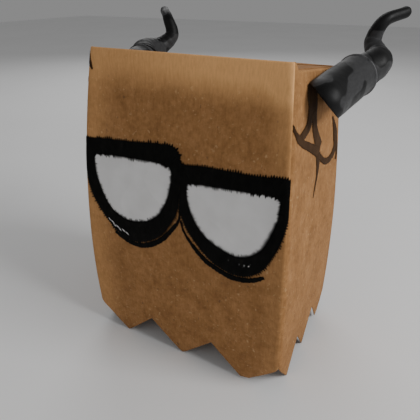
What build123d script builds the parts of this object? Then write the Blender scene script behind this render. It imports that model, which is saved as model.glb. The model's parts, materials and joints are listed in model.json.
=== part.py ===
from build123d import *
import os
from math import atan2, cos, pi, sin, sqrt

os.makedirs("parts", exist_ok=True)

# A paper bag puppet: a kraft paper bag worn open end down over the hand, with two eyes and
# two sets of cracks drawn on it, and a curled horn pinned to each side panel.
# Millimetres. The face looks along -Y and Z is up. Right is +X, as seen from in front.
# The origin is in the plane of the tooth tips, at the middle of the open end.

# --- bag ---
height = 210.0          # tooth tips to the crest of the front panel
waist_height = 100.0    # where the bag bellies out the most
top_width = 130.0
waist_width = 148.0
hem_width = 150.5
top_depth = 82.0
waist_depth = 108.0
hem_depth = 103.0
paper = 0.5             # wall, thicker than real paper so that each panel is a sound solid
fold_gap = 0.1          # between two panels at a crease
crest = 4.0             # the front panel stands this much above the closed top
top_fall = 10.0         # the closed top slopes down to the back by this much

# --- hem ---
tooth_height = 23.0
front_teeth = 3
side_teeth = 3
tip_flat = 2.0

# --- closed top and seam ---
front_flap_length = 50.0
back_flap_length = 48.0
tuck_width = 42.0
seam_width = 12.0

# --- drawn layers ---
ink = 0.15
ink_gap = 0.03          # between a drawn layer and the panel under it
white_width = 61.0
white_drop = 43.0
outline_margin = 5.0    # drawn line beside and above the white
outline_below = 15.0    # drawn line under the white
stroke_gap = 2.0        # bare paper between the outline and the stroke under it
stroke_width = 7.0
left_eye_x = -33.0
left_eye_from_top = 63.0
left_eye_tilt = 3.0
right_eye_x = 36.0
right_eye_from_top = 69.0
right_eye_tilt = 2.0
eye_divide = 3.0        # where the two drawn lines meet
crack_y = 7.0           # the drawing of the cracks is set out from here
crack_from_top = 27.0

# --- horns ---
horn_y = 10.0           # swivel centre, behind the middle of the side panel
horn_from_top = 23.0
left_horn_drop = 3.0    # the left horn sits this much lower
horn_gap = 0.45         # base of the horn to the panel
dome_step = 0.15        # the domed end is this much smaller than the tube it closes
mitre_inset = 1.1       # the flat cut across the sleeve's domed end, from the dome's centre
mitre_normal = (0.66, 0.33, 0.68)
horn_wall = 1.2
sleeve_base_radius = 12.2
sleeve_rim_radius = 12.4
curl_clearance = 0.15   # curl inside the sleeve
tip_radius = 3.6
rim_radius = 1.5
ring_radius = 1.0
sleeve_share = 0.376    # of the horn's length
curl_start = 0.294
ring_share = 0.43
hollow_share = 0.73     # the curl is hollow up to here
# Centre line, from the swivel centre: it starts off the panel at the centre of the domed end.
horn_line = [
    (5.5, -29, 0.8),
    (9, 0, 4),
    (12.5, 22, 7),
    (19.5, 34, 12),
    (17.5, 52, 14),
    (11.5, 61, 22),
    (16, 63, 34),
    (26.5, 74, 39),
]

# --- paper fasteners ---
shank_radius = 1.5
turning_clearance = 0.08
hole_clearance = 0.06
head_radius = 4.0
head_height = 1.4
head_gap = 0.1
base_disc = 1.0
backing_radius = 10.0
backing = 1.0
leg_length = 11.0
leg_width = 3.0
leg_thickness = 0.6
reach = 400.0           # longer than the bag, for cutters


def bow(z, top, waist, hem):
    """Half size at height z on the arc through its values at the crest, the waist and the hem."""
    a, b = top - hem, height
    c, d = waist - hem, waist_height
    cross = 2 * (a * d - b * c)
    u = (d * (a * a + b * b) - b * (c * c + d * d)) / cross
    v = (a * (c * c + d * d) - c * (a * a + b * b)) / cross
    radius = sqrt(u * u + v * v)
    side = 1 if u < 0 else -1
    return hem + u + side * sqrt(radius**2 - (z - v) ** 2)


def half_width(z):
    return bow(z, top_width / 2, waist_width / 2, hem_width / 2)


def half_depth(z):
    return bow(z, top_depth / 2, waist_depth / 2, hem_depth / 2)


def arc_strip(plane, size_at, inner, outer, sign):
    """A strip of wall along an arc, between two offsets from it, drawn on a plane."""
    heights = [height, waist_height, 0.0]
    far = [(sign * (size_at(z) + outer), z) for z in heights]
    near = [(sign * (size_at(z) + inner), z) for z in heights]
    edges = [
        ThreePointArc(*far),
        Line(far[2], near[2]),
        ThreePointArc(*near),
        Line(near[0], far[0]),
    ]
    return plane * make_face(edges)


def arc_region(plane, size_at, inset):
    """The whole region between the two arcs of the bag, drawn on a plane."""
    heights = [height, waist_height, 0.0]
    left = [(-(size_at(z) - inset), z) for z in heights]
    right = [(size_at(z) - inset, z) for z in heights]
    edges = [
        ThreePointArc(*left),
        Line(left[2], right[2]),
        ThreePointArc(*right),
        Line(right[0], left[0]),
    ]
    return plane * make_face(edges)


def through(face):
    """A face drawn out both ways past the bag."""
    return extrude(face, reach / 2, both=True)


def notches(plane, width, count):
    """The triangles cut out between the teeth, with half of one past each corner."""
    pitch = width / count
    half = (pitch - tip_flat) / 2
    cutter = Part()
    for i in range(count + 1):
        at = -width / 2 + i * pitch
        below = -tooth_height * 0.5
        spread = half * 1.5
        corners = ((at, tooth_height), (at + spread, below), (at - spread, below))
        face = make_face(Polyline(*corners, close=True))
        cutter += through(plane * face)
    return cutter


def closed_top_z(y):
    """Height of the outside of the closed top."""
    return height - crest - top_fall * (y + top_depth / 2) / top_depth


def under_top():
    """Everything below the closed top."""
    ends = [-reach / 4, reach / 4]
    corners = [(ends[0], -reach / 4), (ends[1], -reach / 4)]
    corners += [(ends[1], closed_top_z(ends[1])), (ends[0], closed_top_z(ends[0]))]
    return through(Plane.YZ * make_face(Polyline(*corners, close=True)))


def front_skin(inner, outer, shape, sign=-1):
    """A layer on the front (-1) or back (+1) panel, with its outline drawn in X and Z."""
    layer = through(arc_strip(Plane.YZ, half_depth, inner, outer, sign))
    return layer & through(shape)


def side_skin(inner, outer, shape, sign=1):
    """A layer on the left (+1) or right (-1) panel, with its outline drawn in Y and Z."""
    layer = through(arc_strip(Plane.XZ, half_width, inner, outer, sign))
    return layer & through(shape)


def bag_panels():
    width_face = arc_region(Plane.XZ, half_width, 0)
    depth_face = arc_region(Plane.YZ, half_depth, paper + fold_gap)
    wide_notches = notches(Plane.XZ, hem_width, front_teeth)
    side_notches = notches(Plane.YZ, hem_depth, side_teeth)
    front = front_skin(-paper, 0, width_face) - wide_notches
    back = (front_skin(-paper, 0, width_face, 1) & under_top()) - wide_notches
    side = (side_skin(-paper, 0, depth_face) & under_top()) - side_notches
    seam_face = Plane.XZ * Pos(0, height / 2) * Rectangle(seam_width, height * 2)
    seam = (front_skin(0, paper, seam_face, 1) & under_top()) - wide_notches
    return front, back, side, seam


def top_plane():
    """On the outside of the closed top, at its front edge, with Z out of the paper."""
    fall = atan2(top_fall, top_depth)
    front_y = -(half_depth(height - crest) - paper - fold_gap)
    origin = (0, front_y, closed_top_z(front_y))
    return Plane(origin=origin, x_dir=(1, 0, 0), z_dir=(0, sin(fall), cos(fall)))


def top_length():
    """Along the slope, between the insides of the front and back panels."""
    back_z = height - crest - top_fall
    span = half_depth(height - crest) + half_depth(back_z) - 2 * (paper + fold_gap)
    return span / cos(atan2(top_fall, top_depth)) - paper


def top_flaps():
    """Two glued flaps over two tucked-in triangles, as the block bottom of a bag is folded."""
    width = 2 * (half_width(height - crest) - paper - fold_gap)
    length = top_length()
    base = top_plane()

    def plate(face, layer):
        return extrude(base.offset(-layer * (paper + ink_gap)) * face, -paper)

    front = plate(Pos(0, front_flap_length / 2) * Rectangle(width, front_flap_length), 0)
    back_at = length - back_flap_length / 2
    back = plate(Pos(0, back_at) * Rectangle(width, back_flap_length), 1)
    tucks = []
    for sign in (1, -1):
        outer = sign * width / 2
        inner = sign * (width / 2 - tuck_width)
        slope = tuck_width * 0.6
        corners = [(outer, 0), (inner, slope), (inner, length - slope), (outer, length)]
        tucks.append(plate(make_face(Polyline(*corners, close=True)), 2))
    return front, back, tucks


def half_moon(width, drop):
    """A half moon, flat side up, with the middle of its flat side at the origin."""
    below = Pos(0, -drop) * Rectangle(2 * width, 2 * drop)
    return Ellipse(width / 2, drop) & below


def placed(face, x, from_top, tilt):
    return Plane.XZ * (Pos(x, height - from_top) * Rot(0, 0, tilt) * face)


def eye(x, from_top, tilt, side):
    """The white, the thick drawn line round it, and a looser stroke under that."""
    white = half_moon(white_width, white_drop)
    line_width = white_width + 2 * outline_margin
    line_drop = white_drop + outline_below + outline_margin
    outer = Pos(0, outline_margin) * half_moon(line_width, line_drop)
    gap = Pos(0, outline_margin) * half_moon(line_width, line_drop + stroke_gap)
    far = Pos(0, outline_margin) * half_moon(line_width, line_drop + stroke_gap + stroke_width)
    under = Pos(0, -white_drop) * Rectangle(2 * white_width, white_drop)
    faces = [white, outer - white, (far - gap) & under]
    bottom, top = ink_gap, ink_gap + ink
    own_side = Plane.XZ * Pos(eye_divide + side * (reach + ink_gap) / 2, 0) * Rectangle(reach, 2 * reach)
    own_face = arc_region(Plane.XZ, half_width, paper) & own_side
    placed_faces = [placed(face, x, from_top, tilt) & own_face for face in faces]
    return [front_skin(bottom, top, face) for face in placed_faces]


def crack_lines():
    """Strokes of the cracks as (width, points), from the drawing's own centre."""
    return [
        (11, [(-21, 9), (-21, -2), (-26, -10)]),
        (7, [(-21, -2), (-36, -11), (-50, -8)]),
        (6, [(-18, -4), (-16, -18), (-6, -29)]),
        (4, [(-49, -12), (-38, -18), (-18, -27), (-8, -33)]),
        (2, [(-11, -35), (-12, -42), (-17, -52)]),
        (5, [(-6, -30), (-2, -38), (10, -42), (20, -40), (20, -24)]),
        (5, [(23, -22), (30, -34), (36, -43), (29, -45)]),
    ]


def crack_drawing():
    """The cracks as one face on the side panel."""
    drawing = Sketch()
    for width, points in crack_lines():
        lifted = [(crack_y + y, height - crack_from_top + z) for y, z in points]
        drawing += trace(Polyline(*lifted), width)
        for y, z in lifted:
            drawing += Pos(y, z) * Circle(width / 2)
    return Plane.YZ * drawing


def swivel_plane():
    """On the outside of the left panel (+X side), with Z out along its normal."""
    z = height - horn_from_top
    lean = (half_width(z + 1) - half_width(z - 1)) / 2
    origin = (half_width(z), horn_y, z)
    return Plane(origin=origin, x_dir=(0, 1, 0), z_dir=(1, 0, -lean))


def centre_line():
    centre = swivel_plane().origin
    return Spline(*[centre + Vector(*point) for point in horn_line])


def tube(line, start, end, count, radius_at):
    """A solid round tube along part of a line."""
    stations = [start + (end - start) * i / count for i in range(count + 1)]
    sections = [line.location_at(t) * Circle(radius_at(t)) for t in stations]
    return loft(sections)


def sleeve_radius(t):
    return sleeve_base_radius + (sleeve_rim_radius - sleeve_base_radius) * t / sleeve_share


def curl_radius(t):
    root = sleeve_rim_radius - horn_wall - curl_clearance
    along = (t - curl_start) / (1 - curl_start)
    return tip_radius + (root - tip_radius) * (1 + cos(pi * along)) / 2


def outside(plane, distance):
    """Everything further out than a distance above a plane."""
    return extrude(plane.offset(distance) * Rectangle(reach, reach), reach)


def ring(line, share, major, minor):
    return line.location_at(share) * Torus(major, minor)


def mitre_plane(line):
    """The flat cut across the sleeve's domed end, facing down, inwards and to the front."""
    normal = Vector(*mitre_normal).normalized()
    return Plane(origin=line.position_at(0) + normal * mitre_inset, z_dir=normal)


def domed_tube(line, wall):
    """The sleeve's round form, less a wall: a tube with a ball at its start, cut flat."""
    body = tube(line, 0, sleeve_share, 4, lambda t: sleeve_radius(t) - wall)
    body += line.location_at(0) * Sphere(sleeve_base_radius - dome_step - wall)
    return body & outside(mitre_plane(line), wall)


def horn():
    """The pieces of the horn on the +X side."""
    line = centre_line()
    base = swivel_plane()
    clear = outside(base, horn_gap)
    sleeve_outer = domed_tube(line, 0) & clear
    sleeve_bore = domed_tube(line, horn_wall)
    curl_outer = tube(line, curl_start, 1, 12, curl_radius)
    curl_bore = tube(line, curl_start, hollow_share, 8, lambda t: curl_radius(t) - horn_wall)
    tip_end = line.location_at(1) * Sphere(tip_radius)
    sleeve = sleeve_outer - sleeve_bore
    root_at = horn_gap + base_disc + head_gap + head_height + head_gap
    curl = ((curl_outer + tip_end) & outside(base, root_at)) - curl_bore - sleeve
    beyond = line.location_at(sleeve_share) * extrude(Rectangle(reach, reach), reach)
    rim = ring(line, sleeve_share, sleeve_rim_radius + fold_gap, rim_radius) & beyond
    rim = (rim - curl_outer) & clear
    band = ring(line, ring_share, curl_radius(ring_share) + fold_gap, ring_radius) - curl_outer
    disc = (sleeve_bore & clear) - outside(base, horn_gap + base_disc)
    bore = extrude(base * Circle(shank_radius + turning_clearance), reach / 8, both=True)
    disc -= bore
    return {
        "horn_sleeve": sleeve,
        "horn_rim": rim,
        "horn_ring": band,
        "horn_curl": curl,
        "horn_base_disc": disc,
    }


def fastener():
    """A split pin: its head on the horn's base disc, its legs spread inside the bag."""
    base = swivel_plane()
    head_at = horn_gap + base_disc + head_gap
    inside = -(paper + fold_gap + backing + ink_gap)
    head = extrude(base.offset(head_at) * Circle(head_radius), head_height)
    outermost = head.edges().group_by(SortBy.LENGTH)[-1].sort_by(Axis.X)[-1]
    head = fillet(outermost, head_height * 0.6)
    shank = extrude(base.offset(head_at) * Circle(shank_radius), inside - leg_thickness - head_at)
    legs = extrude(base.offset(inside) * Rectangle(2 * leg_length, leg_width), -leg_thickness)
    return head + shank + legs


def backing_disc():
    """A card washer inside the bag, under the legs."""
    base = swivel_plane()
    face = Circle(backing_radius) - Circle(shank_radius + hole_clearance)
    return extrude(base.offset(-(paper + fold_gap)) * face, -backing)


def pin_hole():
    return extrude(swivel_plane() * Circle(shank_radius + hole_clearance), horn_gap * 4, both=True)


def left_shift():
    """Moves a mirrored piece down the right panel by the drop of that horn."""
    z = height - horn_from_top
    return Pos(-(half_width(z - left_horn_drop) - half_width(z)), 0, -left_horn_drop)


def mirrored(shape):
    return left_shift() * mirror(shape, Plane.YZ)


def build():
    front, back, side, seam = bag_panels()
    front_flap, back_flap, tucks = top_flaps()
    cracks = crack_drawing() & arc_region(Plane.YZ, half_depth, paper)
    crack_layer = side_skin(ink_gap, ink_gap + ink, cracks)
    keep_clear = extrude(swivel_plane() * Circle(shank_radius + hole_clearance), reach / 8, both=True)
    plain_side = mirror(side, Plane.YZ)
    nodes = {
        "front_panel": front,
        "back_panel": back,
        "left_side_panel": plain_side - mirrored(pin_hole()),
        "right_side_panel": side - pin_hole(),
        "back_seam_lap": seam,
        "top_front_flap": front_flap,
        "top_back_flap": back_flap,
        "top_tuck_right": tucks[0],
        "top_tuck_left": tucks[1],
        "crack_ink_right": crack_layer - keep_clear,
        "crack_ink_left": mirror(crack_layer - keep_clear, Plane.YZ),
    }
    eyes = {
        "left": eye(left_eye_x, left_eye_from_top, left_eye_tilt, -1),
        "right": eye(right_eye_x, right_eye_from_top, right_eye_tilt, 1),
    }
    for side_name, layers in eyes.items():
        for kind, layer in zip(("eye_white", "eye_outline", "under_eye_stroke"), layers):
            nodes[kind + "_" + side_name] = layer
    pinned = horn()
    pinned["paper_fastener"] = fastener()
    pinned["backing_disc"] = backing_disc()
    for name, shape in pinned.items():
        nodes[name + "_right"] = shape
        nodes[name + "_left"] = mirrored(shape)
    return nodes


for name, shape in build().items():
    export_step(shape, "parts/" + name + ".step")
base_plane = swivel_plane()
print("swivel centre", base_plane.origin, "axis", base_plane.z_dir)
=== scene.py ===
import bisect
import json
import random
from math import cos, pi, radians, sin, sqrt

import bmesh
import bpy
from mathutils import Euler, Matrix, Vector, noise


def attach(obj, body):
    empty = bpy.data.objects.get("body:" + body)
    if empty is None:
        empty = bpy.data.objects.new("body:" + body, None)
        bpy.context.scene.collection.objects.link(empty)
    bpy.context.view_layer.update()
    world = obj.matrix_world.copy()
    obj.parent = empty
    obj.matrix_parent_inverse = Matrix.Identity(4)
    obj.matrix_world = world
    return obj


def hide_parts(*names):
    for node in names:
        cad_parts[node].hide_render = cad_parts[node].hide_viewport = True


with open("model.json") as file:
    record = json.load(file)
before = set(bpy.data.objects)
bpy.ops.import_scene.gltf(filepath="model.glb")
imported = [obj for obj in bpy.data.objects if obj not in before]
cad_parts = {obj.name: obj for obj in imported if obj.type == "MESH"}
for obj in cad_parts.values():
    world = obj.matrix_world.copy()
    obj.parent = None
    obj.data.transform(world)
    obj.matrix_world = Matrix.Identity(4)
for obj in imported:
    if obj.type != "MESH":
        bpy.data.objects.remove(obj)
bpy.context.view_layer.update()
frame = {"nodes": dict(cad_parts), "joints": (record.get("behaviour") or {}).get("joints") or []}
MM = 0.001

# --- the bag's own sizes, in millimetres, as in the CAD model ---
HEIGHT = 210.0
WAIST_HEIGHT = 100.0
TOP, WAIST, HEM = 65.0, 74.0, 75.25              # half widths
TOP_DEEP, WAIST_DEEP, HEM_DEEP = 41.0, 54.0, 51.5  # half depths
CREST = 4.0              # the front panel's fold stands this far above the closed top
TOP_FALL = 10.0          # of the closed top, from front to back
TOOTH = 23.0             # height of the hem's teeth
TEETH = 3                # on each panel
TIP_FLAT = 0.03          # share of a tooth
CORNER = 4.0             # radius of the bag's upright edges
PAPER = 0.5
INK_LIFT = 0.18          # of the drawn layers off the paper
HORN_FROM_TOP = 23.0
CRACK_FROM_TOP = 27.0    # the cracks are drawn round a point this far down a side panel
CRACK_Y = 7.0            # and this far behind its middle
LEFT_HORN_DROP = 3.0
HORN_GAP = 0.45          # from a side panel to the flat of a horn
TINY = 1e-9

FRONT, RIGHT, BACK, LEFT = range(4)


# ---------------------------------------------------------------- small helpers
def smooth(low, high, value):
    """0 below low, 1 above high, and a smooth rise between them."""
    t = min(max((value - low) / (high - low), 0.0), 1.0)
    return t * t * (3 - 2 * t)


def mix(a, b, t):
    return a + (b - a) * t


def bow(z, top, waist, hem):
    """Half size at height z on the arc through its values at the crest, waist and hem."""
    a, b = top - hem, HEIGHT
    c, d = waist - hem, WAIST_HEIGHT
    cross = 2 * (a * d - b * c)
    u = (d * (a * a + b * b) - b * (c * c + d * d)) / cross
    v = (a * (c * c + d * d) - c * (a * a + b * b)) / cross
    radius = sqrt(u * u + v * v)
    side = 1 if u < 0 else -1
    return hem + u + side * sqrt(radius**2 - (z - v) ** 2)


def half_width(z):
    return bow(z, TOP, WAIST, HEM)


def half_depth(z):
    return bow(z, TOP_DEEP, WAIST_DEEP, HEM_DEEP)


def closed_top(y):
    return HEIGHT - CREST - TOP_FALL * (y + TOP_DEEP) / (2 * TOP_DEEP)


CURVE_STEPS = 16         # between two given points of a curve


def curve_through(points, count):
    """Catmull-Rom curve through points of any dimension, as count + 1 evenly spaced points."""
    pts = [Vector(p).to_3d() if len(p) < 3 else Vector(p) for p in points]
    ends = [2 * pts[0] - pts[1]] + pts + [2 * pts[-1] - pts[-2]]
    fine = []
    for i in range(1, len(ends) - 2):
        a, b, c, d = ends[i - 1:i + 3]
        for k in range(CURVE_STEPS):
            t = k / CURVE_STEPS
            fine.append(0.5 * ((2 * b) + (c - a) * t + (2 * a - 5 * b + 4 * c - d) * t**2
                               + (3 * b - a - 3 * c + d) * t**3))
    fine.append(pts[-1])
    lengths = [0.0]
    for p, q in zip(fine, fine[1:]):
        lengths.append(lengths[-1] + (q - p).length)
    out = []
    for k in range(count + 1):
        want = lengths[-1] * k / count
        i = min(max(bisect.bisect_right(lengths, want) - 1, 0), len(fine) - 2)
        span = lengths[i + 1] - lengths[i]
        out.append(fine[i].lerp(fine[i + 1], (want - lengths[i]) / span if span else 0))
    return out


def closed_through(points, count):
    """The same for a closed outline: count points, the first not repeated."""
    return curve_through(points + points[:1], count)[:-1]


def new_mesh(name, points, faces):
    """A mesh object from points in millimetres."""
    mesh = bpy.data.meshes.new(name)
    mesh.from_pydata([Vector(p) * MM for p in points], [], faces)
    mesh.validate()
    piece = bpy.data.objects.new(name, mesh)
    bpy.context.scene.collection.objects.link(piece)
    return piece


def grid_faces(rows, columns, wrap=False):
    """Quads over rows x columns points, stored row by row."""
    faces = []
    last = columns if wrap else columns - 1
    for r in range(rows - 1):
        for c in range(last):
            d = (c + 1) % columns
            low, high = r * columns, (r + 1) * columns
            faces.append((low + c, low + d, high + d, high + c))
    return faces


def apply_all(piece):
    """Applies a piece's modifiers and leaves it smooth shaded."""
    bpy.context.view_layer.update()
    graph = bpy.context.evaluated_depsgraph_get()
    done = bpy.data.meshes.new_from_object(piece.evaluated_get(graph))
    piece.modifiers.clear()
    piece.data = done
    for polygon in done.polygons:
        polygon.use_smooth = True


def thicken(piece, thickness, outwards=0.0):
    """Turns an open sheet into a closed shell; outwards is the share that grows outwards."""
    solid = piece.modifiers.new("wall", "SOLIDIFY")
    solid.thickness = thickness * MM
    solid.offset = 2 * outwards - 1
    solid.use_even_offset = False
    apply_all(piece)


def face_outwards(piece):
    work = bmesh.new()
    work.from_mesh(piece.data)
    bmesh.ops.recalc_face_normals(work, faces=work.faces)
    work.to_mesh(piece.data)
    work.free()


def finish_piece(piece, material, body, slot, *replaced):
    piece.data.materials.clear()
    piece.data.materials.append(material)
    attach(piece, body)
    if replaced:
        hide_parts(*replaced)
    return piece


# ---------------------------------------------------------------- the bag's surface
DISH = 1.5               # the front panel is dished in by this inside its creased border
BORDER_TOP = 19.0        # the border's width under the top fold, and at each side
BORDER_SIDE = 13.0
DISH_FADE = 60.0         # the dish fades out over this height above the hem
SLACK = 0.45             # height of the paper's slow waves
CREASE = 0.22            # height of its soft creases
HORN_ROOM = 0.32         # the side panels lie this much lower where the horns turn


def slack_paper(point):
    """Slow waves and a few soft creases, in millimetres."""
    wave = noise.noise(point * 0.018 + Vector((3.1, 0.7, 5.3)))
    crease = 1 - abs(noise.noise(point * 0.03 + Vector((9.2, 4.4, 1.5)))) * 2
    return SLACK * wave + CREASE * max(crease, 0) ** 6


def dish(u, z):
    """How far the front panel is dished in at u across it and height z."""
    from_side = min(u, 1 - u) * 2 * half_width(z)
    down = HEIGHT - z
    return DISH * smooth(0, BORDER_SIDE, from_side) * smooth(2, BORDER_TOP, down) * smooth(0, DISH_FADE, z)


def square_point(panel, u, z):
    """A point on the square-cornered bag: X, Y and the outward direction."""
    a, b = half_width(z), half_depth(z)
    if panel == FRONT:
        return mix(-a, a, u), -b, Vector((0, -1, 0))
    if panel == RIGHT:
        return a, mix(-b, b, u), Vector((1, 0, 0))
    if panel == BACK:
        return mix(a, -a, u), b, Vector((0, 1, 0))
    return -a, mix(b, -b, u), Vector((-1, 0, 0))


def wall_point(panel, u, z, lift=0.0):
    """A point on the bag, u of the way along a panel, lifted outwards by lift."""
    x, y, out = square_point(panel, u, z)
    a, b = half_width(z), half_depth(z)
    length = 2 * (a if panel in (FRONT, BACK) else b)
    from_corner = min(u, 1 - u) * length
    if from_corner < CORNER:
        near = 0 if u < 0.5 else 1
        cx, cy, _ = square_point(panel, near, z)
        inward = Vector((-1 if cx > 0 else 1, -1 if cy > 0 else 1, 0))
        centre = Vector((cx, cy, 0)) + inward * CORNER
        along = Vector((cx, cy, 0)) - Vector((x, y, 0))
        if along.length > TINY:
            along = along.normalized()
        else:
            along = Vector((-inward.x * abs(out.y), -inward.y * abs(out.x), 0))
        angle = radians(45) * (1 - from_corner / CORNER)
        out = out * cos(angle) + along * sin(angle)
        x, y = (centre + out * CORNER).xy
    point = Vector((x, y, z))
    bend = slack_paper(point) * smooth(0, 12, from_corner)
    if panel == FRONT:
        bend -= dish(u, z)
    if panel in (RIGHT, LEFT):
        bend -= HORN_ROOM * smooth(90, 130, z)
    point += out * (bend + lift)
    return point


def top_edge(panel, u):
    """Height of the bag's folded top edge along a panel."""
    depth = 2 * TOP_DEEP
    if panel == FRONT:
        return HEIGHT
    if panel == BACK:
        return closed_top(TOP_DEEP)
    back = u if panel == RIGHT else 1 - u
    return closed_top(mix(-TOP_DEEP, TOP_DEEP, back)) + CREST * (1 - smooth(0.5, 4.5, back * depth))


def hem_height(u):
    """Zigzag: notch at each corner, a blunt tip in the middle of each tooth."""
    across = abs((u * TEETH) % 1.0 - 0.5) * 2
    return TOOTH * max(across - TIP_FLAT, 0) / (1 - TIP_FLAT)


def panel_stations():
    """Places along a panel: even between the teeth's corners, and closer at the bag's corners."""
    per_half, crowding = 10, 1.7
    half = 1 / (2 * TEETH)
    between = per_half * (2 * TEETH - 2)
    ramp = [half * (i / per_half) ** crowding for i in range(per_half)]
    middle = [half + (1 - 2 * half) * i / between for i in range(between)]
    return ramp + middle + [1 - r for r in reversed(ramp[1:])]


def painted_highlight(panel, u, z):
    """How much painted highlight the paper gets: a pale band along the folds, most at the front's top
    corners, standing in for light falling on them from above and the right.
    """
    a = half_width(z)
    down = HEIGHT - z
    if panel == FRONT:
        top = 1 - smooth(5, 27, down)
        right = 1 - smooth(6, 17, (1 - u) * 2 * a)
        left = 1 - smooth(4, 30, u * 2 * a)
        # Painted highlight: strongest under the top fold towards the right and down the right edge, faint
        # down the left edge.
        right *= 0.35 + 0.65 * (1 - smooth(10, 90, down))
        top *= 0.55 + 0.6 * smooth(0.0, 0.85, u)
        return min(top + 0.75 * right * (0.5 + 0.5 * top) + 0.3 * left * (1 - top), 1.35)
    # On the side panels a faint painted highlight runs under the top fold.
    return 0.15 * (1 - smooth(0, 14, down))


WALL_ROWS = 104
UNDER_FOLD = 1.2         # the walls end this far under the top edge, where the fold begins
# The fold over the top edge and a narrow lip on the closed top, as (inset, distance below the edge).
FOLD = [(0.15, 0.75), (0.6, 0.25), (1.3, 0.02), (2.4, 0.0), (4.2, 0.0), (7.0, 0.0)]


def bag_shell():
    """The four walls, from the zigzag hem to a lip on the closed top, as one sheet."""
    stations = panel_stations()
    around = [(panel, u) for panel in range(4) for u in stations]
    points, wear = [], []
    for row in range(WALL_ROWS + 1):
        for panel, u in around:
            z = mix(hem_height(u), top_edge(panel, u) - UNDER_FOLD, row / WALL_ROWS)
            points.append(wall_point(panel, u, z))
            # Each point also carries its share of the painted highlight.
            wear.append(painted_highlight(panel, u, z))
    for inset, below in FOLD:
        for panel, u in around:
            edge = wall_point(panel, u, top_edge(panel, u) - UNDER_FOLD)
            inner = Vector((edge.x * (1 - inset / TOP), edge.y * (1 - inset / TOP_DEEP), 0))
            front = smooth(0.5, 4.5, TOP_DEEP - abs(inner.y)) if panel == FRONT else 1.0
            crest_fall = CREST * smooth(0.6, 4.6, inset)
            if panel == FRONT:
                z = HEIGHT - below - crest_fall + (closed_top(inner.y) - closed_top(-TOP_DEEP)) * front
            else:
                z = mix(top_edge(panel, u), closed_top(inner.y), smooth(0.4, 4.4, inset)) - below
            points.append(Vector((inner.x, inner.y, z)))
            # The painted highlight fades out over the fold onto the closed top.
            wear.append(painted_highlight(panel, u, HEIGHT) * (1 - smooth(0, 6, inset)))
    rows = WALL_ROWS + 1 + len(FOLD)
    piece = new_mesh("bag_shell", points, grid_faces(rows, len(around), wrap=True))
    # The painted highlight is kept on the points as a colour attribute.
    colour = piece.data.color_attributes.new("wear", "FLOAT_COLOR", "POINT")
    for i, value in enumerate(wear):
        colour.data[i].color = (value, value, value, 1)
    thicken(piece, PAPER)
    return piece


# ---------------------------------------------------------------- flat sheets on the closed top
SHEET = 0.3              # thickness of the sheets on the closed top
SHEET_RIPPLE = 0.12


def top_sheet(name, corners, layer, curl=0.0, divisions=28):
    """A four-cornered sheet lying on the closed top; its far edge may curl up a little."""
    a, b, c, d = [Vector(p) for p in corners]
    points = []
    for i in range(divisions + 1):
        v = i / divisions
        for j in range(divisions + 1):
            u = j / divisions
            flat = a.lerp(b, u).lerp(d.lerp(c, u), v)
            ripple = SHEET_RIPPLE * noise.noise(Vector((flat.x, flat.y, layer * 9)) * 0.05)
            lift = layer + curl * smooth(0.75, 1.0, v) + ripple
            points.append((flat.x, flat.y, closed_top(flat.y) + lift))
    piece = new_mesh(name, points, grid_faces(divisions + 1, divisions + 1))
    thicken(piece, SHEET, 0.5)
    face_outwards(piece)
    return piece


def top_sheets():
    """The folded block bottom of the bag: two tucks, then the back flap, then the front flap."""
    x, front, back = TOP - 1.6, -TOP_DEEP + 4.6, TOP_DEEP - 1.6
    mitre, tuck = 30.0, 44.0
    sheets = []
    for node, side in (("top_tuck_right", 1), ("top_tuck_left", -1)):
        outer, inner = side * x, side * (x - tuck)
        corners = [(outer, front), (outer, back), (inner, back), (inner, front)]
        sheets.append((top_sheet(node + "_fold", corners, 0.15), node))
    back_reach = front + 38.0
    corners = [(-x, back), (x, back), (x - mitre, back_reach), (-x + mitre, back_reach)]
    sheets.append((top_sheet("top_back_flap_fold", corners, 0.6), "top_back_flap"))
    front_reach = back - 30.0
    corners = [(-x, front), (x, front), (x - mitre, front_reach), (-x + mitre, front_reach)]
    sheets.append((top_sheet("top_front_flap_fold", corners, 1.05, 0.25), "top_front_flap"))
    return sheets


def back_seam():
    """The glued lap down the middle of the back."""
    width, rows, columns = 12.0, 90, 9
    points = []
    for i in range(rows + 1):
        for j in range(columns):
            across = (j / (columns - 1) - 0.5) * width
            low = TOOTH * max(abs(across) / (HEM / TEETH) - TIP_FLAT, 0) / (1 - TIP_FLAT)
            z = mix(low + 0.1, top_edge(BACK, 0.5) - 1.6, i / rows)
            u = 0.5 - across / (2 * half_width(z))
            lift = 0.34 if 0 < j < columns - 1 else 0.16
            points.append(wall_point(BACK, u, z, lift))
    piece = new_mesh("back_seam", points, grid_faces(rows + 1, columns))
    thicken(piece, 0.22)
    face_outwards(piece)
    return piece


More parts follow.
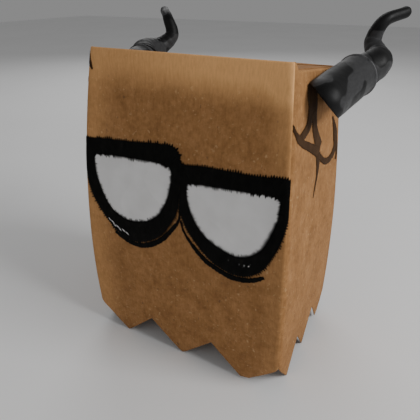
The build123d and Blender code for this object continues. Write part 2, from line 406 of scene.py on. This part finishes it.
# ---------------------------------------------------------------- drawn layers
# The eyes on the front panel, as (x, height) in millimetres: the white, the outer edge of its thick
# line, the loose stroke under it, the middles of the bare flecks, and the step from there to an end.
EYES = {
    "left": {
        "white": [(-63.5, 145.5), (-50, 146.8), (-32, 147.6), (-14, 148), (-4.5, 146.5), (-3, 138),
                  (-6, 126), (-12, 114.5), (-21, 107), (-32, 103.6), (-43, 104.2), (-52.5, 109.5),
                  (-59, 119.5), (-63, 132)],
        "line": [(-70, 154.5), (-52, 156), (-32, 157.4), (-14, 159), (-4, 159.4), (1.2, 156.5), (2.6, 149),
                 (2.4, 136), (1, 121), (-4.2, 110), (-11.5, 99.8), (-22, 92.6), (-33, 89), (-44, 90.5),
                 (-54, 98), (-63.5, 110), (-69, 125), (-71, 141)],
        "stroke": [(-50, 91.5), (-42, 88), (-32, 86.4), (-22, 89), (-12, 95.5), (-4, 104.5), (2, 113.5),
                   (3.6, 124)],
        "flecks": [(-54, 100), (-51.5, 98.5), (-50, 96.5), (-47.5, 96), (-45.5, 94.4), (-42.5, 94.4),
                   (-39.5, 93)],
        "fleck": (1.3, -1.0),
    },
    "right": {
        "white": [(7.5, 139.5), (18, 140.6), (32, 141.4), (48, 142.4), (62, 143.4), (66, 141), (66.2, 133),
                  (63.2, 122), (58.5, 110.5), (51, 103), (42, 100), (32, 101.8), (22, 106.5), (14, 114.5),
                  (9, 124.5), (7, 133)],
        "line": [(3.2, 149.4), (18, 151), (36, 151.4), (54, 152), (68, 153.6), (72.2, 151.5), (72.6, 140),
                 (70.6, 126), (67, 113.5), (62, 102), (57, 94.5), (50, 89.3), (42, 87.4), (34, 88.6),
                 (26.5, 91.6), (19, 97.2), (12, 104.5), (7, 111.5), (4, 119.5), (3, 134)],
        "stroke": [(60.5, 91.6), (55, 88), (48, 85.4), (40, 84.6), (31, 86.6), (21, 91), (12.5, 98.5),
                   (6, 106.5), (3.4, 114)],
        "flecks": [(37, 95.5), (40.5, 94.6), (44, 95), (47.5, 95.6), (51, 97)],
        "fleck": (0.6, 1.0),
    },
}
PAINT, INK, THIN_INK = 0.1, 0.12, 0.06       # thickness of the drawn layers
WHITE_LIFT = INK_LIFT * 0.6
LINE_LIFT = INK_LIFT + 0.1
STROKE_LIFT = INK_LIFT + 0.04
FLECK_LIFT = INK_LIFT + 0.16
TEETH_INSIDE, TEETH_OUTSIDE = 2.7, 2.5       # reach of the scribbled teeth on the eyes' lines


def front_at(x, z, lift):
    a = half_width(z)
    return wall_point(FRONT, min(max((x + a) / (2 * a), 0.0), 1.0), z, lift)


def side_at(y, z, lift, side):
    """On the right (+1) or left (-1) panel, y towards the back."""
    b = half_depth(z)
    u = (y + b) / (2 * b)
    return wall_point(RIGHT, u, z, lift) if side > 0 else wall_point(LEFT, 1 - u, z, lift)


TOOTH_SHAPE = (0.05, 0.4, 1.0, 0.75, 0.3)    # of one scribbled tooth along an outline


def ragged(outline, reach, seed):
    """An outline with the fine teeth of a scribbled edge, up to reach proud."""
    dice = random.Random(seed)
    count = len(outline)
    out = []
    tooth = 0.0
    for i, point in enumerate(outline):
        before, after = outline[i - 1], outline[(i + 1) % count]
        along = (after - before).normalized()
        normal = Vector((along.y, -along.x, 0))
        if i % len(TOOTH_SHAPE) == 0:
            tooth = dice.uniform(0.35, 1.0)
        out.append(point + normal * (reach * tooth * TOOTH_SHAPE[i % len(TOOTH_SHAPE)]))
    return out


def around_outline(points, count):
    """A closed outline, counter-clockwise seen from the front, evenly spaced."""
    ring = closed_through(points, count)
    area = sum(p.x * q.y - q.x * p.y for p, q in zip(ring, ring[1:] + ring[:1]))
    return ring if area > 0 else ring[::-1]


def eye_white(side):
    """The painted white, as rings from its middle to a little under the line."""
    count, rings, under_line = 240, 26, 1.03
    outline = around_outline(EYES[side]["white"], count)
    centre = sum(outline, Vector()) / count
    points = [front_at(centre.x, centre.y, WHITE_LIFT)]
    for r in range(1, rings + 1):
        share = r / rings * under_line
        for p in outline:
            at = centre.lerp(p, share)
            points.append(front_at(at.x, at.y, WHITE_LIFT))
    faces = [(0, 1 + c, 1 + (c + 1) % count) for c in range(count)]
    for r in range(rings - 1):
        for c in range(count):
            d = (c + 1) % count
            low, high = 1 + r * count, 1 + (r + 1) * count
            faces.append((low + c, high + c, high + d, low + d))
    piece = new_mesh("eye_white_paint_" + side, points, faces)
    thicken(piece, PAINT)
    face_outwards(piece)
    return piece


def eye_line(side, seed):
    """The thick outline, with a scribbled edge inside and out."""
    count, rings = 720, 8
    inner = around_outline(EYES[side]["white"], count)
    outer = around_outline(EYES[side]["line"], count)
    centre = sum(inner, Vector()) / count

    def bearing(p):
        return (p - centre).xy.angle_signed(Vector((1, 0))) % (2 * pi)

    start = min(range(count), key=lambda i: bearing(outer[i]))
    outer = outer[start:] + outer[:start]
    start = min(range(count), key=lambda i: bearing(inner[i]))
    inner = inner[start:] + inner[:start]
    rough_in = ragged(inner, -TEETH_INSIDE, seed)
    rough_out = ragged(outer, TEETH_OUTSIDE, seed + 1)
    points = []
    for r in range(rings + 1):
        for p, q in zip(rough_in, rough_out):
            at = p.lerp(q, r / rings)
            points.append(front_at(at.x, at.y, LINE_LIFT))
    piece = new_mesh("eye_line_" + side, points, grid_faces(rings + 1, count, wrap=True))
    thicken(piece, INK)
    face_outwards(piece)
    return piece


def ribbon(points, width_at, place, rough, seed, step=0.5):
    """Points and faces of one brush stroke along a line drawn on a panel."""
    total = sum((Vector(q) - Vector(p)).length for p, q in zip(points, points[1:]))
    count = max(int(total / step), 6)
    line = curve_through(points, count)
    dice = random.Random(seed)
    across = 5
    out = []
    for i, p in enumerate(line):
        before, after = line[max(i - 1, 0)], line[min(i + 1, count)]
        along = (after - before).normalized()
        normal = Vector((-along.y, along.x, 0))
        t = i / count
        left = width_at(t) / 2 + dice.uniform(-0.3, 1.0) * rough
        right = width_at(t) / 2 + dice.uniform(-0.3, 1.0) * rough
        for j in range(across):
            s = j / (across - 1)
            at = p + normal * mix(-max(left, 0.05), max(right, 0.05), s)
            out.append(place(at.x, at.y))
    return out, grid_faces(count + 1, across)


def strokes(name, drawn, thickness=INK):
    """Several ribbons in one piece."""
    points, faces = [], []
    for more_points, more_faces in drawn:
        start = len(points)
        points += more_points
        faces += [tuple(start + i for i in face) for face in more_faces]
    piece = new_mesh(name, points, faces)
    thicken(piece, thickness)
    face_outwards(piece)
    return piece


def under_eye(side, seed):
    """The loose stroke under an eye: thin at its ends."""
    def place(x, z):
        return front_at(x, z, STROKE_LIFT)

    def width(t):
        return 1.1 + 2.2 * sin(pi * min(t * 1.1 + 0.05, 1)) ** 0.7

    line = ribbon(EYES[side]["stroke"], width, place, 0.55, seed)
    return strokes("under_eye_stroke_line_" + side, [line])


def eye_flecks(side, seed):
    """Small bare flecks left in the thick bottom of the outline."""
    def place(x, z):
        return front_at(x, z, FLECK_LIFT)

    def width(t):
        return 0.8 * sin(pi * min(max(t, 0.08), 0.92))

    drawn = []
    along, up = EYES[side]["fleck"]
    for k, (x, z) in enumerate(EYES[side]["flecks"]):
        line = [(x - along, z - up), (x, z + 0.1), (x + along, z + up)]
        drawn.append(ribbon(line, width, place, 0.12, seed + k, 0.25))
    return strokes("eye_flecks_" + side, drawn, THIN_INK)


# Brush strokes of a crack on a side panel: width at the start, middle and end, then points
# as (y from the drawing's centre towards the back, height from it).
CRACK_STROKES = [
    ((19, 17, 15), [(-23, 14), (-23, 9), (-22, 2), (-23, -3)]),
    ((11, 6, 4.5), [(-25, 0), (-30, -7), (-38, -10), (-46, -11)]),
    ((9, 8, 11), [(-20, -2), (-18, -12), (-13, -20), (-7, -28)]),
    ((3.5, 4.5, 7), [(-48, -10), (-39, -15), (-26, -21), (-7, -30)]),
    ((9, 3, 0.5), [(-9, -30), (-9, -38), (-10, -44), (-13, -50), (-16, -56)]),
    ((1.2, 2.2, 4), [(-54, -1), (-51, -6), (-47, -10)]),
    ((3.5, 4, 5), [(-5, -33), (-1, -36), (7, -40), (18, -42), (26, -41)]),
    ((6, 9, 1.5), [(24, -42), (31, -36), (28, -26), (21, -15)]),
    ((5, 5, 2.5), [(32, -32), (36, -41), (35, -48)]),
]
CRACK_TOP = 197.5        # no stroke goes higher
# The left panel's drawing runs on round the edge of the front as one short tick.
FRONT_TICK = [(-65.5, 207.5), (-65, 203.5), (-63.4, 200), (-61.6, 197.2)]


def crack_drawing(side):
    """The cracks on one side panel, each stroke a hair above the one before so that none fight."""
    name = "right" if side > 0 else "left"
    drop = 0 if side > 0 else LEFT_HORN_DROP
    base = HEIGHT - CRACK_FROM_TOP - drop
    drawn = []
    for k, (widths, line) in enumerate(CRACK_STROKES):
        def place(y, z, k=k):
            return side_at(y, min(z, CRACK_TOP), INK_LIFT + 0.01 * k, side)

        def width(t, w=widths):
            return mix(w[0], w[1], 2 * t) if t < 0.5 else mix(w[1], w[2], 2 * t - 1)

        moved = [(CRACK_Y + y, base + z) for y, z in line]
        drawn.append(ribbon(moved, width, place, 0.45, 40 + k))
    if side < 0:
        def place_front(x, z):
            return front_at(x, z, INK_LIFT)
        drawn.append(ribbon(FRONT_TICK, lambda t: 0.8 + 2.4 * sin(pi * t), place_front, 0.3, 77))
    return strokes("crack_brushwork_" + name, drawn, THIN_INK)


# ---------------------------------------------------------------- horns
# Centre line from the swivel centre, as in the CAD model: it starts at the sleeve's domed end.
HORN_LINE = [(5.5, -29, 0.8), (9, 0, 4), (12.5, 22, 7), (19.5, 34, 12), (17.5, 52, 14), (11.5, 61, 22),
             (16, 63, 34), (26.5, 74, 39)]
SLEEVE_BASE, SLEEVE_RIM, TIP = 12.2, 12.4, 3.6
SLEEVE_SHARE, CURL_START, RING_SHARE = 0.376, 0.294, 0.43
MITRE_NORMAL = Vector((0.66, 0.33, 0.68)).normalized()   # of the flat cut across the domed end
MITRE_INSET = 1.1
HORN_LENGTH = 128.0      # of the centre line, about
CURL_INSIDE = 1.35       # the curl's root is this much smaller than the sleeve
RIM, RIM_SINK = 1.5, 0.9     # the rolled rim's section, and how far it sinks into the sleeve
RING = 1.0               # the ring's section
HORN_STEPS = 400         # along the whole centre line
DOME_STEPS = 14


def swivel():
    """Centre and outward normal of the right horn's swivel, from the frame's own joint."""
    joint = next(j for j in frame["joints"] if j["name"] == "horn_right_swivel")
    return Vector(joint["pos_m"]) / MM, Vector(joint["axis"])


def sleeve_radius(t):
    return mix(SLEEVE_BASE, SLEEVE_RIM, t / SLEEVE_SHARE)


def curl_radius(t):
    along = (t - CURL_START) / (1 - CURL_START)
    root = SLEEVE_RIM - CURL_INSIDE
    return TIP + (root - TIP) * (1 + cos(pi * along)) / 2


def sweep_frames(line):
    """Tangent and two normals along a line, with no twist."""
    frames = []
    normal = Vector((0, 0, 1))
    for i, p in enumerate(line):
        tangent = (line[min(i + 1, len(line) - 1)] - line[max(i - 1, 0)]).normalized()
        normal = (normal - tangent * normal.dot(tangent)).normalized()
        frames.append((p, tangent, normal, tangent.cross(normal)))
    return frames


def horn_tube(start, end, radius_at, rows, around=72, detail=None, round_start=False, round_end=False):
    """Points and faces of a closed tube along part of the horn's line, with flat or round ends."""
    centre, _ = swivel()
    whole = curve_through([centre + Vector(p) for p in HORN_LINE], HORN_STEPS)
    frames = sweep_frames(whole)
    dome = [k / (DOME_STEPS + 0.3) * pi / 2 for k in range(1, DOME_STEPS + 1)]
    rings = []
    if round_start:
        for angle in reversed(dome):
            radius = radius_at(start)
            rings.append((frames[0], start, radius * cos(angle), -radius * sin(angle)))
    for r in range(rows + 1):
        t = mix(start, end, r / rows)
        rings.append((frames[min(round(t * HORN_STEPS), HORN_STEPS)], t, radius_at(t), 0.0))
    if round_end:
        last_frame, last_t, last_radius, _ = rings[-1]
        for angle in dome:
            rings.append((last_frame, last_t, last_radius * cos(angle), last_radius * sin(angle)))
    points = []
    for (p, tangent, up, side), t, radius, ahead in rings:
        for k in range(around):
            angle = 2 * pi * k / around
            out = up * cos(angle) + side * sin(angle)
            extra = detail(t, angle) * min(radius / radius_at(t), 1) if detail else 0.0
            points.append(p + tangent * ahead + out * (radius + extra))
    faces = grid_faces(len(rings), around, wrap=True)
    points.append(sum(points[:around], Vector()) / around)
    points.append(sum(points[-around - 1:-1], Vector()) / around)
    first, last = len(points) - 2, len(points) - 1
    top = (len(rings) - 1) * around
    for k in range(around):
        m = (k + 1) % around
        faces.append((first, m, k))
        faces.append((last, top + k, top + m))
    return points, faces


def cut_flat(piece, point, normal):
    """Keeps what lies on the normal's side of a point, and closes the cut."""
    work = bmesh.new()
    work.from_mesh(piece.data)
    everything = work.verts[:] + work.edges[:] + work.faces[:]
    bmesh.ops.bisect_plane(work, geom=everything, plane_co=point * MM, plane_no=normal, clear_inner=True)
    rim = [e for e in work.edges if e.is_boundary]
    bmesh.ops.holes_fill(work, edges=rim, sides=0)
    work.to_mesh(piece.data)
    work.free()


def cut_at_panel(piece):
    """Cuts a horn piece off flat, just clear of the panel."""
    centre, normal = swivel()
    cut_flat(piece, centre + normal * HORN_GAP, normal)


def sleeve_detail(t, angle):
    """Slight flats and dents, as in cast horn."""
    return 0.16 * noise.noise(Vector((cos(angle) * 1.6, sin(angle) * 1.6, t * 9)))


def curl_detail(t, angle):
    """Growth ridges that fade towards the tip, over slow dents."""
    ridges = 0.14 * sin(t * 150 + 1.2 * sin(angle)) * (1 - smooth(0.55, 0.95, t))
    return ridges + 0.18 * noise.noise(Vector((cos(angle) * 1.3, sin(angle) * 1.3, t * 8)))


def rolled(share, minor, spread):
    """Radius along a rolled ring: round in section."""
    def radius(t):
        along = (t - share) / spread
        return minor * sqrt(max(1 - along * along, 0))
    return radius


def horn_pieces():
    """The four visible pieces of the right horn."""
    sleeve = new_mesh("horn_sleeve_skin_right", *horn_tube(
        0.0, SLEEVE_SHARE, sleeve_radius, 44, detail=sleeve_detail, round_start=True))
    start = swivel()[0] + Vector(HORN_LINE[0])
    cut_flat(sleeve, start + MITRE_NORMAL * MITRE_INSET, MITRE_NORMAL)
    cut_at_panel(sleeve)
    half_rim = RIM / HORN_LENGTH
    rim_shape = rolled(SLEEVE_SHARE + half_rim * 0.6, RIM, half_rim * 1.02)
    rim = new_mesh("horn_rim_skin_right", *horn_tube(
        SLEEVE_SHARE - half_rim * 0.4, SLEEVE_SHARE + half_rim * 1.6,
        lambda t: SLEEVE_RIM - RIM_SINK + rim_shape(t), 14))
    cut_at_panel(rim)
    half_ring = RING / HORN_LENGTH
    ring_shape = rolled(RING_SHARE, RING, half_ring * 1.02)
    ring = new_mesh("horn_ring_skin_right", *horn_tube(
        RING_SHARE - half_ring, RING_SHARE + half_ring,
        lambda t: curl_radius(t) + ring_shape(t), 10))
    curl = new_mesh("horn_curl_skin_right", *horn_tube(
        CURL_START, 1.0, curl_radius, 150, detail=curl_detail, round_end=True))
    cut_at_panel(curl)
    return {"horn_sleeve": sleeve, "horn_rim": rim, "horn_ring": ring, "horn_curl": curl}


def mirrored(piece, name):
    """The left horn's copy: across X = 0, and lower by the drop, measured down the panel."""
    copy = piece.copy()
    copy.data = piece.data.copy()
    copy.name = name
    copy.data.name = name
    bpy.context.scene.collection.objects.link(copy)
    z = HEIGHT - HORN_FROM_TOP
    out = half_width(z - LEFT_HORN_DROP) - half_width(z)
    move = Matrix.Translation(Vector((-out, 0, -LEFT_HORN_DROP)) * MM)
    copy.data.transform(move @ Matrix.Scale(-1, 4, Vector((1, 0, 0))))
    copy.data.flip_normals()
    return copy


# ---------------------------------------------------------------- materials
class Shader:
    """A material's node tree, with short names for the nodes used here."""

    def __init__(self, name, **constants):
        self.material = bpy.data.materials.new(name)
        self.material.use_nodes = True
        self.tree = self.material.node_tree
        self.shader = self.tree.nodes["Principled BSDF"]
        for socket, value in constants.items():
            self.shader.inputs[socket.replace("_", " ")].default_value = value
        self.place = self.tree.nodes.new("ShaderNodeTexCoord").outputs["Object"]

    def join(self, source, target):
        self.tree.links.new(source, target)

    def noise(self, scale, detail=4.0, roughness=0.55, stretch=(1, 1, 1), distortion=0.0):
        mapping = self.tree.nodes.new("ShaderNodeMapping")
        mapping.inputs["Scale"].default_value = stretch
        self.join(self.place, mapping.inputs["Vector"])
        texture = self.tree.nodes.new("ShaderNodeTexNoise")
        texture.inputs["Scale"].default_value = scale
        texture.inputs["Detail"].default_value = detail
        texture.inputs["Roughness"].default_value = roughness
        texture.inputs["Distortion"].default_value = distortion
        self.join(mapping.outputs["Vector"], texture.inputs["Vector"])
        return texture.outputs["Fac"]

    def ramp(self, source, *stops):
        """Colours at places along 0 to 1, as (place, colour) pairs."""
        node = self.tree.nodes.new("ShaderNodeValToRGB")
        elements = node.color_ramp.elements
        while len(elements) < len(stops):
            elements.new(0.5)
        for element, (place, colour) in zip(elements, stops):
            element.position = place
            element.color = (*colour, 1) if len(colour) == 3 else colour
        self.join(source, node.inputs["Fac"])
        return node.outputs["Color"]

    def blend(self, amount, first, second, how="MIX"):
        node = self.tree.nodes.new("ShaderNodeMix")
        node.data_type = "RGBA"
        node.blend_type = how
        sockets = [s for s in node.inputs if s.type == "RGBA"]
        for socket, value in zip(sockets, (first, second)):
            if isinstance(value, tuple):
                socket.default_value = (*value, 1)
            else:
                self.join(value, socket)
        factor = node.inputs["Factor"]
        if isinstance(amount, float):
            factor.default_value = amount
        else:
            self.join(amount, factor)
        return next(s for s in node.outputs if s.type == "RGBA")

    def span(self, source, low, high, to_low=0.0, to_high=1.0):
        """A value spread from low..high to to_low..to_high, and held beyond them."""
        node = self.tree.nodes.new("ShaderNodeMapRange")
        sockets = ("From Min", "From Max", "To Min", "To Max")
        for socket, value in zip(sockets, (low, high, to_low, to_high)):
            node.inputs[socket].default_value = value
        self.join(source, node.inputs["Value"])
        return node.outputs["Result"]

    def sum(self, first, second, weight):
        """first + second * weight"""
        node = self.tree.nodes.new("ShaderNodeMath")
        node.operation = "MULTIPLY_ADD"
        self.join(second, node.inputs[0])
        node.inputs[1].default_value = weight
        self.join(first, node.inputs[2])
        return node.outputs["Value"]

    def bump(self, height, distance, strength=1.0):
        node = self.tree.nodes.new("ShaderNodeBump")
        node.inputs["Distance"].default_value = distance
        node.inputs["Strength"].default_value = strength
        self.join(height, node.inputs["Height"])
        self.join(node.outputs["Normal"], self.shader.inputs["Normal"])

    def colour(self, source):
        self.join(source, self.shader.inputs["Base Color"])

    def roughness(self, source):
        self.join(source, self.shader.inputs["Roughness"])


KRAFT = (0.325, 0.160, 0.060)
KRAFT_DARK = (0.262, 0.126, 0.045)
KRAFT_LIGHT = (0.38, 0.192, 0.077)
# Colour of the painted highlight along the bag's folds.
KRAFT_HIGHLIGHT = (0.80, 0.43, 0.175)


def kraft_material(name="kraft_paper", painted_light_on=True):
    """Unbleached kraft: pulp mottling, upright fibres, pale flecks, and paler where a painted highlight
    lies along the folds.
    """
    m = Shader(name, Roughness=0.82)
    m.shader.inputs["Specular IOR Level"].default_value = 0.15
    mottle = m.noise(70, 6, 0.62, distortion=0.4)
    colour = m.ramp(mottle, (0.3, KRAFT_DARK), (0.5, KRAFT), (0.72, KRAFT_LIGHT))
    fibres = m.noise(900, 5, 0.7, stretch=(1.0, 1.0, 0.16))
    fibre_tint = m.ramp(fibres, (0.34, (0.90, 0.885, 0.86)), (0.52, (1, 1, 1)), (0.7, (1.08, 1.085, 1.09)))
    colour = m.blend(1.0, colour, fibre_tint, "MULTIPLY")
    grain = m.noise(330, 5, 0.7, distortion=0.3)
    grain_tint = m.ramp(grain, (0.3, (0.80, 0.78, 0.74)), (0.68, (1.2, 1.2, 1.2)))
    colour = m.blend(1.0, colour, grain_tint, "MULTIPLY")
    flecks = m.span(m.noise(430, 2, 0.5), 0.64, 0.78)
    colour = m.blend(flecks, colour, (0.50, 0.31, 0.15))
    bark = m.span(m.noise(430, 2, 0.5, stretch=(1, 1, 0.5)), 0.30, 0.25)
    colour = m.blend(bark, colour, (0.2, 0.1, 0.045))
    # Painted highlight: the paper turns paler by the amount stored on the bag's points.
    if painted_light_on:
        wear = m.tree.nodes.new("ShaderNodeAttribute")
        wear.attribute_name = "wear"
        pale = m.blend(1.0, fibre_tint, KRAFT_HIGHLIGHT, "MULTIPLY")
        colour = m.blend(wear.outputs["Fac"], colour, pale)
    m.colour(colour)
    m.roughness(m.span(fibres, 0.3, 0.7, 0.9, 0.7))
    height = m.sum(fibres, m.noise(160, 4, 0.6), 1.6)
    height = m.sum(height, m.noise(2200, 2, 0.6), 0.5)
    m.bump(height, 0.00016, 0.55)
    return m.material


def white_material():
    """Flat white paint over paper: fibres show through as faint greys."""
    m = Shader("eye_white", Roughness=0.7)
    cloud = m.noise(60, 4, 0.5)
    m.colour(m.ramp(cloud, (0.3, (0.69, 0.68, 0.67)), (0.7, (0.78, 0.77, 0.765))))
    fibres = m.noise(900, 4, 0.65, stretch=(1, 1, 0.2))
    m.roughness(m.span(fibres, 0.3, 0.7, 0.78, 0.6))
    m.bump(fibres, 0.00008, 0.5)
    return m.material


def marker_material():
    """Thick black marker: streaks of wetter and drier ink."""
    m = Shader("black_marker", Roughness=0.5)
    streak = m.noise(420, 4, 0.6, stretch=(1, 1, 0.35), distortion=0.6)
    m.colour(m.ramp(streak, (0.25, (0.001, 0.001, 0.0008)), (0.6, (0.002, 0.0018, 0.0013)),
                    (0.85, (0.008, 0.006, 0.004))))
    m.roughness(m.span(streak, 0.3, 0.7, 0.85, 0.65))
    m.shader.inputs["Specular IOR Level"].default_value = 0.1
    m.bump(m.noise(900, 3, 0.6), 0.00006, 0.6)
    return m.material


def brown_ink_material():
    """Dark brown brush ink that lets the paper's fibres through."""
    m = Shader("brown_ink", Roughness=0.85)
    m.shader.inputs["Specular IOR Level"].default_value = 0.1
    wash = m.noise(140, 5, 0.6, distortion=0.3)
    fibres = m.noise(900, 5, 0.7, stretch=(1, 1, 0.16))
    colour = m.ramp(wash, (0.3, (0.040, 0.020, 0.009)), (0.65, (0.066, 0.034, 0.015)),
                    (0.85, (0.095, 0.05, 0.022)))
    tint = m.ramp(fibres, (0.35, (0.8, 0.8, 0.8)), (0.7, (1.25, 1.25, 1.25)))
    m.colour(m.blend(1.0, colour, tint, "MULTIPLY"))
    m.bump(fibres, 0.0001, 0.5)
    return m.material


def horn_material(name, dark, light, patch):
    """Black horn with a soft gloss, grey in hard-edged patches scattered at random."""
    m = Shader(name, Roughness=0.5)
    m.shader.inputs["Specular IOR Level"].default_value = 0.2
    cloud = m.noise(55, 3, 0.45, distortion=0.5)
    colour = m.ramp(cloud, (0.35, dark), (0.65, light))
    patches = m.span(m.noise(48, 2, 0.35, stretch=(1.0, 0.8, 1.0)), 0.53, 0.545)
    colour = m.blend(patches, colour, patch)
    grain = m.noise(600, 4, 0.6, stretch=(1, 0.4, 1))
    grain_tint = m.ramp(grain, (0.3, (0.8, 0.8, 0.8)), (0.7, (1.2, 1.2, 1.2)))
    m.colour(m.blend(1.0, colour, grain_tint, "MULTIPLY"))
    m.roughness(m.span(m.noise(120, 4, 0.6), 0.3, 0.7, 0.42, 0.62))
    m.bump(m.sum(grain, m.noise(220, 3, 0.5), 1.4), 0.00012, 0.5)
    return m.material


def card_material():
    """Grey-brown card: short pressed fibres and dark specks."""
    m = Shader("card", Roughness=0.88)
    pulp = m.noise(380, 5, 0.7)
    colour = m.ramp(pulp, (0.3, (0.33, 0.23, 0.135)), (0.7, (0.47, 0.34, 0.21)))
    specks = m.span(m.noise(900, 2, 0.5), 0.32, 0.27)
    m.colour(m.blend(specks, colour, (0.12, 0.075, 0.04)))
    m.bump(pulp, 0.00015, 0.6)
    return m.material


def brass_material():
    """Brass-plated steel, a little dull, with fine rubbing marks."""
    m = Shader("brass", Metallic=1.0, Roughness=0.3)
    tarnish = m.noise(260, 4, 0.6)
    m.colour(m.ramp(tarnish, (0.3, (0.62, 0.43, 0.16)), (0.7, (0.83, 0.64, 0.31))))
    m.roughness(m.span(m.noise(1400, 3, 0.6, stretch=(1, 0.15, 1)), 0.3, 0.7, 0.22, 0.42))
    m.bump(m.noise(1800, 2, 0.5, stretch=(1, 0.1, 1)), 0.00003, 0.5)
    return m.material


def dress_cad(materials):
    """Materials for the CAD pieces that stay in view."""
    for name, node in frame["nodes"].items():
        for start, material in materials.items():
            if name.startswith(start):
                node.data.materials.clear()
                node.data.materials.append(material)


# ---------------------------------------------------------------- light, floor, camera
FLOOR_REACH, FLOOR_DROP = 3000, 0.2          # millimetres
PUPPET_MIDDLE = Vector((0, 0, 0.11))
LIGHTS = [                                   # name, place in metres, size, watts
    ("key", (0.95, 0.02, 0.72), 0.5, 9.0),
    ("front_fill", (-0.5, -1.2, 0.8), 0.9, 1.6),
    ("back_rim", (-0.6, 0.9, 0.8), 0.8, 4.0),
]


def studio():
    """A pale floor under an even sky, with the strong light on the +X side."""
    signs = ((-1, -1), (1, -1), (1, 1), (-1, 1))
    corners = [(x * FLOOR_REACH, y * FLOOR_REACH, -FLOOR_DROP) for x, y in signs]
    floor = new_mesh("floor", corners, [(0, 1, 2, 3)])
    paint = Shader("floor_paint", Roughness=0.9)
    paint.colour(paint.ramp(paint.noise(4, 2), (0.3, (0.83, 0.83, 0.83)), (0.7, (0.86, 0.86, 0.86))))
    floor.data.materials.append(paint.material)
    world = bpy.data.worlds.new("studio")
    bpy.context.scene.world = world
    world.use_nodes = True
    sky = world.node_tree.nodes["Background"]
    sky.inputs["Color"].default_value = (1, 1, 1, 1)
    sky.inputs["Strength"].default_value = 0.26
    for name, place, size, power in LIGHTS:
        data = bpy.data.lights.new(name, "AREA")
        data.size = size
        data.energy = power
        lamp = bpy.data.objects.new(name, data)
        lamp.location = place
        aim = PUPPET_MIDDLE - Vector(place)
        lamp.rotation_euler = aim.to_track_quat("-Z", "Y").to_euler()
        bpy.context.scene.collection.objects.link(lamp)


def camera():
    """At the front right, above: 29 degrees round and 28 degrees down."""
    data = bpy.data.cameras.new("camera")
    data.sensor_width = 36.0
    data.lens = 35.96
    eye = bpy.data.objects.new("camera", data)
    eye.location = (0.1287, -0.2397, 0.2413)
    turn, down, roll = radians(29.08), radians(28.09), radians(-0.19)
    eye.rotation_euler = (Euler((pi / 2 - down, 0, turn), "XYZ").to_matrix()
                          @ Matrix.Rotation(roll, 3, "Z")).to_euler()
    bpy.context.scene.collection.objects.link(eye)
    bpy.context.scene.camera = eye


def make_bag(kraft, kraft_plain):
    finish_piece(bag_shell(), kraft, "bag", "kraft_paper",
                 "front_panel", "back_panel", "left_side_panel", "right_side_panel")
    for sheet, node in top_sheets():
        finish_piece(sheet, kraft_plain, "bag", "kraft_paper", node)
    finish_piece(back_seam(), kraft_plain, "bag", "kraft_paper", "back_seam_lap")


def make_drawing():
    white, marker, brown = white_material(), marker_material(), brown_ink_material()
    for seed, side in enumerate(("left", "right")):
        finish_piece(eye_white(side), white, "bag", "eye_white", "eye_white_" + side)
        finish_piece(eye_line(side, 11 + seed), marker, "bag", "black_marker", "eye_outline_" + side)
        finish_piece(under_eye(side, 21 + seed), marker, "bag", "black_marker", "under_eye_stroke_" + side)
        finish_piece(eye_flecks(side, 31 + seed), white, "bag", "eye_white")
    finish_piece(crack_drawing(1), brown, "bag", "brown_ink", "crack_ink_right")
    finish_piece(crack_drawing(-1), brown, "bag", "brown_ink", "crack_ink_left")


def make_horns():
    black = horn_material("horn_black", (0.0015, 0.0015, 0.0016), (0.006, 0.006, 0.0062),
                          (0.034, 0.034, 0.035))
    grey = horn_material("horn_rim_grey", (0.045, 0.045, 0.046), (0.07, 0.07, 0.072), (0.10, 0.10, 0.103))
    for node, piece in horn_pieces().items():
        material, slot = (grey, "horn_rim_grey") if node == "horn_rim" else (black, "horn_black")
        for polygon in piece.data.polygons:
            polygon.use_smooth = True
        face_outwards(piece)
        copy = mirrored(piece, piece.name.replace("right", "left"))
        finish_piece(piece, material, "horn_right", slot, node + "_right")
        finish_piece(copy, material, "horn_left", slot, node + "_left")


camera()
studio()
# The plain kraft, used for the top sheets and the back seam, has no painted highlight.
make_bag(kraft_material(), kraft_material("kraft_paper_plain", painted_light_on=False))
make_drawing()
make_horns()
card = card_material()
dress_cad({"horn_base_disc": card, "backing_disc": card, "paper_fastener": brass_material()})
